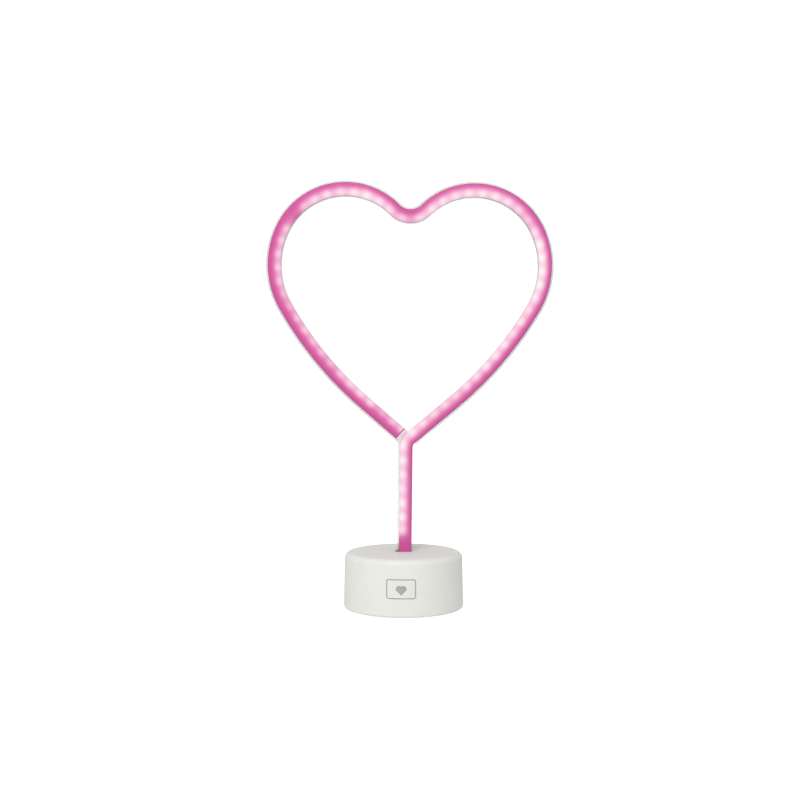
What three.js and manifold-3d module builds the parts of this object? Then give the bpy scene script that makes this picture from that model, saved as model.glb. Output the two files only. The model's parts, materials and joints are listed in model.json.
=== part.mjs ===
// A heart of LED neon-effect strip on a round table base, 300 mm tall.
// One strip runs up the stem, bends into the right limb, goes round the heart and ends square
// beside the stem. It lies in a clear backing channel whose foot is clamped inside a moulded
// base, which holds three AA cells, a small circuit board, a USB socket and a slide switch.
// The heart stands in the XZ plane and faces -Y. The origin is on the table, under the heart's middle.
import * as THREE from "three";
import { mergeVertices } from "three/addons/utils/BufferGeometryUtils.js";
import Module from "manifold-3d";

const wasm = await Module();
wasm.setup();

// ---- Driving dimensions: millimetres and degrees ----
const gap = 0.3; // kept between touching pieces
const bite = 0.5; // how far a join or a cut reaches past the face it starts from

// Strip centreline: tangent arcs from the dip outwards, then a straight run down to the stem
const dipHeight = 276.1;
const dipRadius = 15.8;
const lobeRadius = 49.1;
const lobeTurn = 108.7;
const sideRadius = 58.7;
const sideTurn = 56;
const limbRadius = 259.5;
const limbTurn = 19.5;
const limbSlope = 40.4; // of the straight run, above level
const bendRadius = 9; // where the stem turns into the right limb
const stemX = -1.1; // the stem's strip stands this far left of the heart's middle
const divider = 0.6; // channel wall between the strip's square end and the bend beside it

// Neon strip: a soft sleeve with an LED tape on edge in its outer half
const stripWidth = 9;
const stripDepth = 7.5;
const stripRound = 1.6; // corner radius of the sleeve
const sleeveWall = 1.1; // between the cavity and the sleeve's outer side
const cavityWide = 2.2;
const cavityDepth = 5.8;
const tapeThick = 0.4;
const ledPitch = 10.05;
const firstLed = 31; // along the strip from the sleeve's foot
const ledSize = { along: 3.5, across: 2.8, tall: 0.8 };
const capThick = 1.2;

// Backing channel
const webThick = 1.3;
const lipOuter = 1.2; // wall on the outside of the heart; its inside is open
const stemLip = 1.2; // wall on the stem's left; its right side is open
const lipHeight = 3.2; // how far the walls stand forward of the web

// Base shell
const stemOffset = 1.05; // the stem's foot is this far right of the base's middle
const heartLean = 0.62; // the stem leans this far to the right in its socket
const baseRadius = 42.3; // at the rim
const baseHeight = 39.2; // table to top face
const baseDraft = 1; // the wall leans in
const edgeRound = 4.5; // round between wall and top
const rimRound = 1;
const rimStand = 0.6; // rim above the table
const shellWall = 2.2;
const topWall = 2.6;
const rebate = 1; // step inside the rim that seats the cover
const socketWall = 1.6;

// Front badge: a plain rounded outline sunk into the shell
const badge = { width: 20.1, height: 13.4, round: 2, line: 0.7, depth: 0.4, x: -1.7, z: 19.7 };

// Bottom cover and battery bay
const coverThick = 2.2;
const bayWall = 1.2;
const cellRadius = 7.25; // AA
const cellLength = 50.5;
const cellNub = { radius: 2.75, height: 1 };
const cellCount = 3;
const cellGap = 0.5;
const springRoom = 6.5; // length of bay beyond each cell, for its spring and plates
const contactThick = 0.4;
const doorThick = 1.6;
const doorTab = { width: 7, reach: 2.4, thick: 1 };
const leadRoom = 2.6; // between the bay and the stem's foot
const footPad = { radius: 4, sink: 0.6 };

// Screws: head radius, head height, shaft radius, shaft length
const caseScrew = { head: 2.6, cap: 1, shaft: 1.2, length: 12 };
const boardScrew = { head: 1.8, cap: 0.9, shaft: 0.9, length: 4 };
const clampScrew = { head: 1.9, cap: 1, shaft: 1, length: 6 };
const casePost = { y: 14, radius: 3.2, clear: 2.6 };

// Electronics on the rear wall
const board = { width: 34, thick: 1.4, z: 7, above: 2.7, holeX: 14, holeDown: 4 };
const rearInset = 1.4; // flats are this far inside the rim
const usb = { x: 9, z: 12.5, width: 7.5, height: 2.5, wall: 0.35, depth: 5.2, inset: 1.1 };
const usbFlat = { width: 12, height: 8 };
const knob = { x: -9, z: 12.5, width: 3.4, height: 2, proud: 0.9, travel: 2.5 };
const switchBody = { width: 8.6, height: 3.8, depth: 3.2 };
const chip = { width: 3, height: 1.6, thick: 0.7, up: 5 };
const leadRadius = 0.6;

// ---- Values that follow ----
const rad = THREE.MathUtils.degToRad;
const halfStrip = stripWidth / 2;
const halfDepth = stripDepth / 2;
const webFront = halfDepth + gap;
const webBack = webFront + webThick;
const lipFront = webFront - lipHeight;
const topInside = baseHeight - topWall;
const coverRadius = baseRadius - shellWall + rebate - gap;
const coverLow = rimStand + gap;
const coverTop = coverLow + coverThick;
const bayHalfX = (cellCount * (2 * cellRadius + cellGap) + cellGap) / 2;
const bayHalfY = cellLength / 2 + springRoom / 2;
const cellPitch = 2 * cellRadius + cellGap;
const cellZ = coverTop + gap + cellRadius;
const bayTop = cellZ + cellRadius + gap;
const ceiling = bayTop + bayWall; // the bay's outer top, which the leads lie on
const leadHeight = ceiling + leadRadius + gap;
const stemFoot = ceiling + leadRoom;
const rearFlat = baseRadius - rearInset; // flats round the socket and the switch
const boardFront = rearFlat - usb.inset - usb.depth - gap - board.thick;
const boardTop = leadHeight + board.above;
const boardHoleZ = boardTop - board.holeDown;
const postX = bayHalfX + bayWall + casePost.radius + casePost.clear;
const plateFace = bayHalfY - gap - contactThick; // inner face of the contact plates

// ---- Solids ----

// A closed geometry as a solid that can be joined and cut.
function solid(geometry) {
  const bare = geometry.clone();
  bare.deleteAttribute("normal");
  bare.deleteAttribute("uv");
  const merged = mergeVertices(bare, 1e-4);
  const vertProperties = merged.attributes.position.array;
  const triVerts = new Uint32Array(merged.index.array);
  return new wasm.Manifold(new wasm.Mesh({ numProp: 3, vertProperties, triVerts }));
}

// The solid as a geometry again, its flat faces shaded flat.
function geometryOf(made) {
  const mesh = made.getMesh();
  const geometry = new THREE.BufferGeometry();
  geometry.setAttribute("position", new THREE.BufferAttribute(mesh.vertProperties, 3));
  geometry.setIndex(new THREE.BufferAttribute(mesh.triVerts, 1));
  const flat = geometry.toNonIndexed();
  flat.computeVertexNormals();
  return flat;
}

function join(...pieces) {
  return pieces.reduce((whole, piece) => whole.add(piece));
}

function cut(whole, ...tools) {
  return tools.reduce((left, tool) => left.subtract(tool), whole);
}

// A box between two corners.
function block([x0, y0, z0], [x1, y1, z1]) {
  const box = new THREE.BoxGeometry(x1 - x0, y1 - y0, z1 - z0);
  return solid(box.translate((x0 + x1) / 2, (y0 + y1) / 2, (z0 + z1) / 2));
}

// An upright round bar from z = low to z = high.
function bar(radius, low, high, sides = 20) {
  const cylinder = new THREE.CylinderGeometry(radius, radius, high - low, sides);
  return solid(cylinder.rotateX(Math.PI / 2).translate(0, 0, (low + high) / 2));
}

// A solid of revolution about Z from [radius, z] points that start and end on the axis.
function turned(points, sides) {
  const profile = points.map(([r, z]) => new THREE.Vector2(Math.max(r, 0), z));
  return solid(new THREE.LatheGeometry(profile, sides).rotateX(Math.PI / 2));
}

// A flat outline in X and Z, extruded from y = front to y = back.
function slab(shape, front, back) {
  const slabGeometry = new THREE.ExtrudeGeometry(shape, { depth: back - front, bevelEnabled: false });
  return solid(slabGeometry.rotateX(Math.PI / 2).translate(0, back, 0));
}

// Points of a rounded rectangle about the middle, anticlockwise.
function roundedRectangle(width, height, round, steps = 3) {
  const points = [];
  for (let corner = 0; corner < 4; corner++) {
    const sideX = corner === 0 || corner === 3 ? 1 : -1;
    const sideY = corner < 2 ? 1 : -1;
    for (let step = 0; step <= steps; step++) {
      const angle = (corner + step / steps) * (Math.PI / 2);
      const x = sideX * (width / 2 - round) + round * Math.cos(angle);
      const y = sideY * (height / 2 - round) + round * Math.sin(angle);
      points.push(new THREE.Vector2(x, y));
    }
  }
  return points;
}

// ---- The strip's route ----

// Walks straight runs and tangent arcs in the XZ plane. A move is { run } or { radius, turn }, where a
// positive turn is to the left. Returns stations { x, z, heading, s }, close together only on arcs.
function walk(start, moves, chord = 0.12) {
  const stations = [{ ...start, s: 0 }];
  const last = () => stations[stations.length - 1];
  for (const move of moves) {
    const from = last();
    if (move.run !== undefined) {
      const x = from.x + move.run * Math.cos(from.heading);
      const z = from.z + move.run * Math.sin(from.heading);
      stations.push({ x, z, heading: from.heading, s: from.s + move.run });
      continue;
    }
    const sweep = rad(move.turn);
    const stepTurn = 2 * Math.acos(1 - chord / move.radius);
    const steps = Math.max(2, Math.ceil(Math.abs(sweep) / stepTurn));
    const side = Math.sign(sweep);
    const centreX = from.x - side * move.radius * Math.sin(from.heading);
    const centreZ = from.z + side * move.radius * Math.cos(from.heading);
    for (let step = 1; step <= steps; step++) {
      const heading = from.heading + (sweep * step) / steps;
      const x = centreX + side * move.radius * Math.sin(heading);
      const z = centreZ - side * move.radius * Math.cos(heading);
      const s = from.s + (move.radius * Math.abs(sweep) * step) / steps;
      stations.push({ x, z, heading, s });
    }
  }
  return stations;
}

// A curve through stations, one equal share of its length parameter for each.
class Route extends THREE.Curve {
  constructor(stations) {
    super();
    this.stations = stations;
  }
  between(t) {
    const place = t * (this.stations.length - 1);
    const index = Math.min(Math.floor(place + 1e-9), this.stations.length - 2);
    return [this.stations[index], this.stations[index + 1], place - index];
  }
  getPoint(t, target = new THREE.Vector3()) {
    const [a, b, share] = this.between(t);
    return target.set(a.x + (b.x - a.x) * share, 0, a.z + (b.z - a.z) * share);
  }
  getTangent(t, target = new THREE.Vector3()) {
    const [a, b, share] = this.between(t);
    const heading = a.heading + (b.heading - a.heading) * share;
    return target.set(Math.cos(heading), 0, Math.sin(heading));
  }
  getUtoTmapping(u) {
    return u;
  }
}

// Extrudes a section along stations: section x points to the front, section y to the right of travel.
function swept(section, stations) {
  const steps = stations.length - 1;
  return solid(new THREE.ExtrudeGeometry(section, { steps, extrudePath: new Route(stations) }));
}

// The flat outline between two offsets from the stations, left of travel being negative.
function bandOutline(stations, left, right) {
  const side = (offset) =>
    stations.map(({ x, z, heading }) => {
      return new THREE.Vector2(x + offset * Math.sin(heading), z - offset * Math.cos(heading));
    });
  return new THREE.Shape([...side(right), ...side(left).reverse()]);
}

const dipTurn = lobeTurn + sideTurn + limbTurn + limbSlope - 180;

// Half of the heart, from the dip to the right and down, with a straight run at its foot.
function halfHeart(run) {
  return walk({ x: 0, z: dipHeight, heading: 0 }, [
    { radius: dipRadius, turn: dipTurn },
    { radius: lobeRadius, turn: -lobeTurn },
    { radius: sideRadius, turn: -sideTurn },
    { radius: limbRadius, turn: -limbTurn },
    { run },
  ]);
}

const limbFoot = halfHeart(0).pop(); // where the curved limb becomes straight
const slope = rad(limbSlope);
const bendTurn = 90 - limbSlope;
const bendEndX = stemX + bendRadius * (1 - Math.cos(rad(bendTurn)));
const bendEndZ = limbFoot.z + (bendEndX - limbFoot.x) * Math.tan(slope);
const stemTop = bendEndZ - bendRadius * Math.sin(rad(bendTurn));
const rightRun = (limbFoot.x - bendEndX) / Math.cos(slope);
const endSpace = halfStrip + 2 * gap + divider; // from the right limb's centreline
const leftRun = limbFoot.x / Math.cos(slope) - endSpace / Math.sin(2 * slope);

// The strip from height `foot` on the stem to `short` before its square end.
function stripRoute(foot, short) {
  return walk({ x: stemX, z: foot, heading: Math.PI / 2 }, [
    { run: stemTop - foot },
    { radius: bendRadius, turn: -bendTurn },
    { run: rightRun },
    { radius: limbRadius, turn: limbTurn },
    { radius: sideRadius, turn: sideTurn },
    { radius: lobeRadius, turn: lobeTurn },
    { radius: dipRadius, turn: -2 * dipTurn },
    { radius: lobeRadius, turn: lobeTurn },
    { radius: sideRadius, turn: sideTurn },
    { radius: limbRadius, turn: limbTurn },
    { run: leftRun - short },
  ]);
}

// A point and heading a length s along the stations.
function pointAlong(stations, s) {
  const index = Math.max(1, stations.findIndex((station) => station.s >= s));
  const [a, b] = [stations[index - 1], stations[index]];
  const share = (s - a.s) / (b.s - a.s);
  const mix = (key) => a[key] + (b[key] - a[key]) * share;
  return { x: mix("x"), z: mix("z"), heading: mix("heading") };
}

// ---- Neon strip ----

const sleeveRoute = stripRoute(stemFoot + capThick + gap, capThick + gap);
const cavityRight = halfStrip - sleeveWall;

function neonSleeve() {
  const section = new THREE.Shape(roundedRectangle(stripDepth, stripWidth, stripRound, 2));
  const cavity = roundedRectangle(cavityDepth, cavityWide, 0.2, 1);
  cavity.forEach((point) => (point.y += cavityRight - cavityWide / 2));
  section.holes.push(new THREE.Path(cavity));
  return swept(section, sleeveRoute);
}

// The tape stands on edge at the cavity's outer side; its LEDs face the inside of the heart.
function ledTape() {
  const tapeRight = cavityRight - gap;
  const tapeLeft = tapeRight - tapeThick;
  const halfWide = cavityDepth / 2 - gap;
  const corners = [
    [halfWide, tapeRight],
    [-halfWide, tapeRight],
    [-halfWide, tapeLeft],
    [halfWide, tapeLeft],
  ];
  const section = new THREE.Shape(corners.map(([x, y]) => new THREE.Vector2(x, y)));
  const tape = swept(section, sleeveRoute);
  const length = sleeveRoute[sleeveRoute.length - 1].s;
  const count = Math.floor((length - firstLed) / ledPitch) + 1;
  const seat = tapeThick / 2;
  const leds = Array.from({ length: count }, (_, index) => {
    const { x, z, heading } = pointAlong(sleeveRoute, firstLed + index * ledPitch);
    const led = new THREE.BoxGeometry(ledSize.along, ledSize.across, ledSize.tall + seat);
    led.translate(0, 0, (ledSize.tall + seat) / 2 - seat - tapeLeft);
    return solid(led.rotateY(-heading).translate(x, 0, z));
  });
  return join(tape, ...leds);
}

// Plain moulded caps close the sleeve's two ends.
function sleeveCap(middle, heading) {
  const section = new THREE.Shape(roundedRectangle(stripDepth, stripWidth, stripRound, 2));
  const ends = walk({ ...middle, heading }, [{ run: capThick }]);
  return swept(section, ends);
}

// ---- Backing channel ----

// A web behind the strip with one wall beside it, and an end wall between its square end and the bend.
function backingChannel() {
  const half = (run) => {
    const outline = bandOutline(halfHeart(run), -halfStrip - gap - lipOuter, halfStrip);
    return slab(outline, lipFront, webBack);
  };
  const left = half(leftRun + halfStrip).mirror([1, 0, 0]);
  const stem = walk({ x: stemX, z: stemFoot, heading: Math.PI / 2 }, [
    { run: stemTop - stemFoot },
    { radius: bendRadius, turn: -bendTurn },
  ]);
  const stemOutline = bandOutline(stem, -halfStrip - gap - stemLip, halfStrip);
  const grooveOutline = bandOutline(stripRoute(stemFoot - bite, -gap), -halfStrip - gap, halfStrip + gap);
  const whole = join(half(rightRun), left, slab(stemOutline, lipFront, webBack));
  return cut(whole, slab(grooveOutline, lipFront - bite, webFront));
}

// ---- Base ----

const shellSides = 56;
const lean = Math.tan(rad(baseDraft));
const insideRadius = coverRadius + gap - rebate; // of the shell, above the cover
const wallAt = (z) => baseRadius - lean * (z - rimStand); // outer radius at a height
const stemLeft = stemOffset - halfStrip - gap - stemLip;
const stemRight = stemOffset + halfStrip;
const socketHole = {
  low: [stemLeft - gap, -halfDepth - gap],
  high: [stemRight + gap, webBack + gap],
};
const clampWindow = { low: topInside - 9, high: topInside - 3 };
const clampBoss = { width: 5, low: topInside - 10 };

function shellCup() {
  const outer = [];
  const roundSteps = 5;
  for (let step = 0; step <= roundSteps; step++) {
    const angle = (Math.PI / 2) * (1 - step / roundSteps);
    const r = wallAt(baseHeight) - edgeRound + edgeRound * Math.sin(angle);
    outer.push([r, baseHeight - edgeRound + edgeRound * Math.cos(angle)]);
  }
  const seatRadius = coverRadius + gap;
  return turned(
    [
      [0, topInside],
      [insideRadius - lean * topInside, topInside],
      [insideRadius, coverTop + gap],
      [seatRadius, coverTop + gap],
      [seatRadius, rimStand],
      [baseRadius - rimRound, rimStand],
      [baseRadius, rimStand + rimRound],
      ...outer,
      [0, baseHeight],
    ],
    shellSides,
  );
}

// The rounded outline on the front, sunk to an even depth into the curved wall.
function badgeGroove() {
  const { width, height, round, line, depth, x, z } = badge;
  const ring = new THREE.Shape(roundedRectangle(width, height, round));
  ring.holes.push(new THREE.Path(roundedRectangle(width - 2 * line, height - 2 * line, round - line)));
  const through = slab(ring, -baseRadius - bite, -baseRadius / 2).translate([x, 0, z]);
  const core = [[0, 0], [wallAt(0) - depth, 0], [wallAt(baseHeight) - depth, baseHeight], [0, baseHeight]];
  return cut(through, turned(core, shellSides));
}

function casePostPlaces() {
  return [-1, 1].flatMap((sideX) => [-1, 1].map((sideY) => [sideX * postX, sideY * casePost.y]));
}

function baseShell() {
  const [holeX0, holeY0] = socketHole.low;
  const [holeX1, holeY1] = socketHole.high;
  const wall = socketWall;
  const socketLow = stemFoot + gap;
  let shell = shellCup();
  const socket = block(
    [holeX0 - wall, holeY0 - wall, socketLow],
    [holeX1 + wall, holeY1 + wall, topInside + bite],
  );
  const bossWidth = clampBoss.width;
  const bossLeft = block(
    [holeX0 - wall - bossWidth, holeY0, clampBoss.low],
    [holeX0, holeY1 + wall, topInside + bite],
  );
  const bossRight = block(
    [holeX1, holeY0, clampBoss.low],
    [holeX1 + wall + bossWidth, holeY1 + wall, topInside + bite],
  );
  shell = join(shell, socket, bossLeft, bossRight);
  for (const [x, y] of casePostPlaces()) {
    const post = bar(casePost.radius, coverTop + gap, topInside + bite, 16);
    shell = shell.add(post.translate([x, y, 0]));
  }
  for (const side of [-1, 1]) {
    shell = shell.add(boardBoss().translate([side * board.holeX, 0, boardHoleZ]));
  }
  const stemHole = block([holeX0, holeY0, socketLow - bite], [holeX1, holeY1, baseHeight + bite]);
  const window = block(
    [holeX0 + wall, holeY1 - bite, clampWindow.low],
    [holeX1 - wall, holeY1 + wall + bite, clampWindow.high],
  );
  const tools = [stemHole, window, ...shellBores(), ...rearOpenings()];
  return cut(shell, ...tools, badgeGroove());
}

// Screw holes in the posts, the board bosses and the clamp bosses.
function shellBores() {
  const { shaft, length } = caseScrew;
  const bores = casePostPlaces().map(([x, y]) => {
    return bar(shaft + gap, coverTop + gap - bite, coverTop + length + bite, 12).translate([x, y, 0]);
  });
  for (const side of [-1, 1]) {
    const reach = boardScrew.length + gap;
    const boardBore = bar(boardScrew.shaft + gap, 0, reach, 12);
    const clampBore = bar(clampScrew.shaft + gap, 0, clampScrew.length, 12);
    bores.push(alongY(boardBore, side * board.holeX, boardFront + gap, boardHoleZ));
    bores.push(alongY(clampBore, clampScrewX(side), clampHoleY(), clampZ));
  }
  return bores;
}

// Turns an upright solid to point along +Y and puts its foot at a point.
function alongY(upright, x, y, z) {
  return upright.rotate([-90, 0, 0]).translate([x, y, z]);
}

function boardBoss() {
  const start = boardFront + board.thick + gap;
  const wallY = Math.sqrt(insideRadius ** 2 - board.holeX ** 2);
  return alongY(bar(2.2, 0, wallY - start + shellWall / 2, 16), 0, start, 0);
}

// Flats, the USB slot and the switch slot in the rear wall.
function rearOpenings() {
  const outside = baseRadius + bite;
  const inside = boardFront + board.thick + gap;
  const slotSlack = 2 * gap;
  const centred = (x, z, width, height, y0, y1) =>
    block([x - width / 2, y0, z - height / 2], [x + width / 2, y1, z + height / 2]);
  const slotX = knob.x + knob.travel / 2;
  const slotWidth = knob.width + knob.travel + slotSlack;
  const caseWidth = switchBody.width + slotSlack;
  const caseHeight = switchBody.height + slotSlack;
  return [
    centred(usb.x, usb.z, usbFlat.width, usbFlat.height, rearFlat, outside),
    centred(usb.x, usb.z, usb.width + slotSlack, usb.height + slotSlack, inside, outside),
    centred(slotX, knob.z, slotWidth + 2, knob.height + 4, rearFlat, outside),
    centred(slotX, knob.z, slotWidth, knob.height + slotSlack, inside, outside),
    centred(slotX, knob.z, caseWidth, caseHeight, inside, inside + switchBody.depth + gap),
  ];
}

// ---- Stem clamp ----

const clampZ = (clampWindow.low + clampWindow.high) / 2;
const clampY = socketHole.high[1] + socketWall + gap; // front face of the clamp plate
const clampThick = 2;
const clampHoleY = () => clampY - gap - clampScrew.length + clampThick;
function clampScrewX(side) {
  const edge = side < 0 ? socketHole.low[0] : socketHole.high[0];
  return edge + side * (socketWall + clampBoss.width / 2);
}

// A plate behind the socket whose pad reaches through a window and presses the stem.
function stemClamp() {
  const reach = socketWall + clampBoss.width - 0.5;
  const low = clampWindow.low + 2 * gap;
  const high = clampWindow.high - 2 * gap;
  const [left, right] = [socketHole.low[0] - reach, socketHole.high[0] + reach];
  const plate = block([left, clampY, low], [right, clampY + clampThick, high]);
  const inset = socketWall + gap;
  const pad = block(
    [socketHole.low[0] + inset, socketHole.high[1], low],
    [socketHole.high[0] - inset, clampY + bite, high],
  );
  const holes = [-1, 1].map((side) => {
    const hole = bar(clampScrew.shaft + gap, -bite, clampThick + bite, 12);
    return alongY(hole, clampScrewX(side), clampY, clampZ);
  });
  return cut(join(plate, pad), ...holes);
}

// ---- Screws and feet ----

// A pan-head screw with a cross slot, head down at z = 0 and shaft up.
function screw({ head, cap, shaft, length }) {
  const body = turned(
    [
      [0, 0],
      [head * 0.75, 0],
      [head, cap * 0.6],
      [head, cap],
      [shaft, cap],
      [shaft, cap + length - shaft],
      [0, cap + length],
    ],
    14,
  );
  const slotLong = head * 0.55;
  const slotWide = head * 0.13;
  const slot = (x, y) => block([-x, -y, -bite], [x, y, cap * 0.6]);
  return cut(body, join(slot(slotLong, slotWide), slot(slotWide, slotLong)));
}

function footPadSolid() {
  const { radius, sink } = footPad;
  const top = coverLow + sink - gap;
  return turned([[0, 0], [radius - 0.4, 0], [radius, 0.4], [radius, top], [0, top]], 20);
}

function footPadPlaces() {
  const across = postX + 1;
  const along = coverRadius - footPad.radius - 1.5;
  return [[across, 0], [0, along], [-across, 0], [0, -along]];
}

// ---- Bottom cover, bay and door ----

const screwFloor = coverLow + caseScrew.cap + 2 * gap; // bottom of the screw-head pockets

function bottomCover() {
  const disc = bar(coverRadius, coverLow, coverTop, shellSides);
  const outX = bayHalfX + bayWall;
  const outY = bayHalfY + bayWall;
  const bayBlock = block([-outX, -outY, coverLow + 1], [outX, outY, ceiling]);
  const bay = bayBlock.intersect(bar(insideRadius - lean * ceiling - gap, 0, baseHeight, shellSides));
  const inside = block([-bayHalfX, -bayHalfY, coverLow - bite], [bayHalfX, bayHalfY, bayTop]);
  const cuts = [inside];
  for (const [x, y] of casePostPlaces()) {
    const hole = bar(caseScrew.shaft + gap, coverLow - bite, coverTop + bite, 12);
    const pocket = bar(caseScrew.head + gap, coverLow - bite, screwFloor, 16);
    cuts.push(hole.translate([x, y, 0]), pocket.translate([x, y, 0]));
  }
  for (const [x, y] of footPadPlaces()) {
    const recess = bar(footPad.radius + gap, coverLow - bite, coverLow + footPad.sink, 20);
    cuts.push(recess.translate([x, y, 0]));
  }
  for (const x of doorTabPlaces()) {
    const half = doorTab.width / 2 + gap;
    const slotTop = coverTop + doorTab.reach + doorTab.thick;
    cuts.push(block([x - half, -outY - bite, coverTop], [x + half, -bayHalfY + bite, slotTop]));
  }
  const slotHalf = leadTab.width / 2 + gap;
  for (const [x, y] of leadTabPlaces()) {
    const wayOut = [x + slotHalf, y + 2 * gap, ceiling + bite];
    cuts.push(block([x - slotHalf, y - 2 * gap, bayTop - bite], wayOut));
  }
  return cut(join(disc, bay), ...cuts);
}

function doorTabPlaces() {
  return [-bayHalfX / 2, bayHalfX / 2];
}

// The door's hinge line is its lower front edge; two hooked tabs reach over the cover's edge.
const doorFront = -bayHalfY + gap;

function batteryDoor() {
  const halfX = bayHalfX - gap;
  const backY = bayHalfY - gap;
  const top = coverLow + doorThick;
  const plate = block([-halfX, doorFront, coverLow], [halfX, backY, top]);
  const tabLow = coverTop + gap;
  const tabs = doorTabPlaces().map((x) => {
    const [left, right] = [x - doorTab.width / 2, x + doorTab.width / 2];
    const tabTop = tabLow + doorTab.thick;
    const riser = block([left, doorFront, top - bite], [right, doorFront + 1, tabTop]);
    const hook = block([left, doorFront - doorTab.reach, tabLow], [right, doorFront + bite, tabTop]);
    return riser.add(hook);
  });
  const ribStart = doorFront + 8;
  const grips = Array.from({ length: 4 }, (_, index) => {
    const y = backY - 4 - index * 2;
    return block([-7, y, coverLow - bite], [7, y + 0.8, coverLow + 0.35]);
  });
  const thumbScoop = block([-9, backY - 1.4, coverLow - bite], [9, backY + bite, coverLow + 0.8]);
  const ribs = [-1, 1].map((side) => {
    const x = (side * cellPitch) / 2;
    return block([x - 0.5, ribStart, top - bite], [x + 0.5, backY - 8, top + 1.2]);
  });
  return cut(join(plate, ...tabs, ...ribs), ...grips, thumbScoop);
}

// ---- Cells and contacts ----

const cellPlace = (index) => (index - (cellCount - 1) / 2) * cellPitch;
const plusAtRear = (index) => (index % 2 === 0 ? 1 : -1); // neighbours lie head to tail
const cellShift = plateFace - gap - cellLength / 2; // each cell is pushed against its flat contact

function cell(index) {
  const side = plusAtRear(index);
  const shoulder = cellLength - cellNub.height;
  const upright = turned(
    [
      [0, 0],
      [cellRadius - 1.5, 0],
      [cellRadius, 0.8],
      [cellRadius, shoulder - 1],
      [cellRadius - 1, shoulder],
      [cellNub.radius, shoulder],
      [cellNub.radius, cellLength],
      [0, cellLength],
    ],
    20,
  );
  const lying = upright.translate([0, 0, -cellLength / 2]).rotate([side * -90, 0, 0]);
  return lying.translate([cellPlace(index), side * cellShift, cellZ]);
}

const leadTab = { width: 2.4, rise: 2.6 };
const leadTabPlaces = () => [
  [cellPlace(0), plateFace + contactThick / 2],
  [cellPlace(cellCount - 1), -plateFace - contactThick / 2],
];

// A flat plate across one end of the bay, from x = left to x = right.
function contactPlate(end, left, right) {
  const faces = [end * plateFace, end * (plateFace + contactThick)];
  const half = cellRadius - 1.8;
  return block([left, Math.min(...faces), cellZ - half], [right, Math.max(...faces), cellZ + half]);
}

// The plate's tab up through the bay's ceiling, where its lead is soldered.
function solderTab([x, y]) {
  const half = leadTab.width / 2;
  const thick = contactThick / 2;
  const top = ceiling + leadTab.rise;
  return block([x - half, y - thick, cellZ], [x + half, y + thick, top]);
}

// A conical coil spring from the plate towards the cell's flat end.
class Coil extends THREE.Curve {
  constructor(foot, tip, turns, length) {
    super();
    Object.assign(this, { foot, tip, turns, length });
  }
  getPoint(t, target = new THREE.Vector3()) {
    const angle = t * this.turns * 2 * Math.PI;
    const radius = this.foot + (this.tip - this.foot) * t;
    return target.set(radius * Math.cos(angle), radius * Math.sin(angle), t * this.length);
  }
}

function spring(index) {
  const end = -plusAtRear(index);
  const wire = 0.4;
  const turns = 3;
  const stepsPerTurn = 12;
  const flatEnd = cellLength / 2 - cellShift; // from the bay's middle to the cell's flat end
  const length = plateFace - flatEnd - gap - wire;
  const ring = Array.from({ length: 6 }, (_, side) => {
    return new THREE.Vector2(wire * Math.cos((side * Math.PI) / 3), wire * Math.sin((side * Math.PI) / 3));
  });
  const path = new Coil(4.4, 2.8, turns, length);
  const steps = turns * stepsPerTurn;
  const coil = solid(new THREE.ExtrudeGeometry(new THREE.Shape(ring), { steps, extrudePath: path }));
  return coil.rotate([end * 90, 0, 0]).translate([cellPlace(index), end * (plateFace + wire / 4), cellZ]);
}

const plateHalf = cellRadius - 2;

function contactPlus() {
  const x = cellPlace(0);
  return join(contactPlate(1, x - plateHalf, x + plateHalf), solderTab(leadTabPlaces()[0]));
}

function contactMinus() {
  const last = cellCount - 1;
  const x = cellPlace(last);
  const plate = contactPlate(-1, x - plateHalf, x + plateHalf);
  return join(plate, solderTab(leadTabPlaces()[1]), spring(last));
}

// Joins the flat end of one cell to the raised end of the next.
function contactLink(index) {
  const end = -plusAtRear(index);
  const plate = contactPlate(end, cellPlace(index) - plateHalf, cellPlace(index + 1) + plateHalf);
  return join(plate, spring(index));
}

// ---- Board, socket and switch ----

function circuitBoard() {
  const half = board.width / 2;
  const plate = block([-half, boardFront, board.z], [half, boardFront + board.thick, boardTop]);
  const holes = [-1, 1].map((side) => {
    const hole = bar(boardScrew.shaft + gap, -bite, board.thick + bite, 12);
    return alongY(hole, side * board.holeX, boardFront, boardHoleZ);
  });
  return cut(plate, ...holes);
}

const boardBack = boardFront + board.thick + gap;

// A folded metal shell, open to the rear.
function usbSocket() {
  const { x, z, width, height, wall, depth } = usb;
  const outline = (inset) => {
    const half = width / 2 - inset;
    const tall = height / 2 - inset;
    const topCorners = [[half, 0], [half, tall], [-half, tall], [-half, 0]];
    const corners = [...topCorners, [1 - half, -tall], [half - 1, -tall]];
    return new THREE.Shape(corners.map(([cx, cz]) => new THREE.Vector2(cx, cz)));
  };
  const body = slab(outline(0), boardBack, boardBack + depth);
  const hollow = slab(outline(wall), boardBack + 1, boardBack + depth + bite);
  return cut(body, hollow).translate([x, 0, z]);
}

function usbTongue() {
  const low = boardBack + 1 + gap;
  const high = boardBack + usb.depth - 1;
  return block([usb.x - 1.8, low, usb.z - 0.1], [usb.x + 1.8, high, usb.z + 0.5]);
}

function switchCase() {
  const { width, height, depth } = switchBody;
  const x = knob.x + knob.travel / 2;
  const low = [x - width / 2, boardBack, knob.z - height / 2];
  const body = block(low, [x + width / 2, boardBack + depth, knob.z + height / 2]);
  const slotX = knob.travel / 2 + knob.width / 2 + gap;
  const slotZ = knob.height / 2 + gap;
  const slot = [x + slotX, boardBack + depth + bite, knob.z + slotZ];
  return cut(body, block([x - slotX, boardBack + depth - 1.5, knob.z - slotZ], slot));
}

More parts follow.
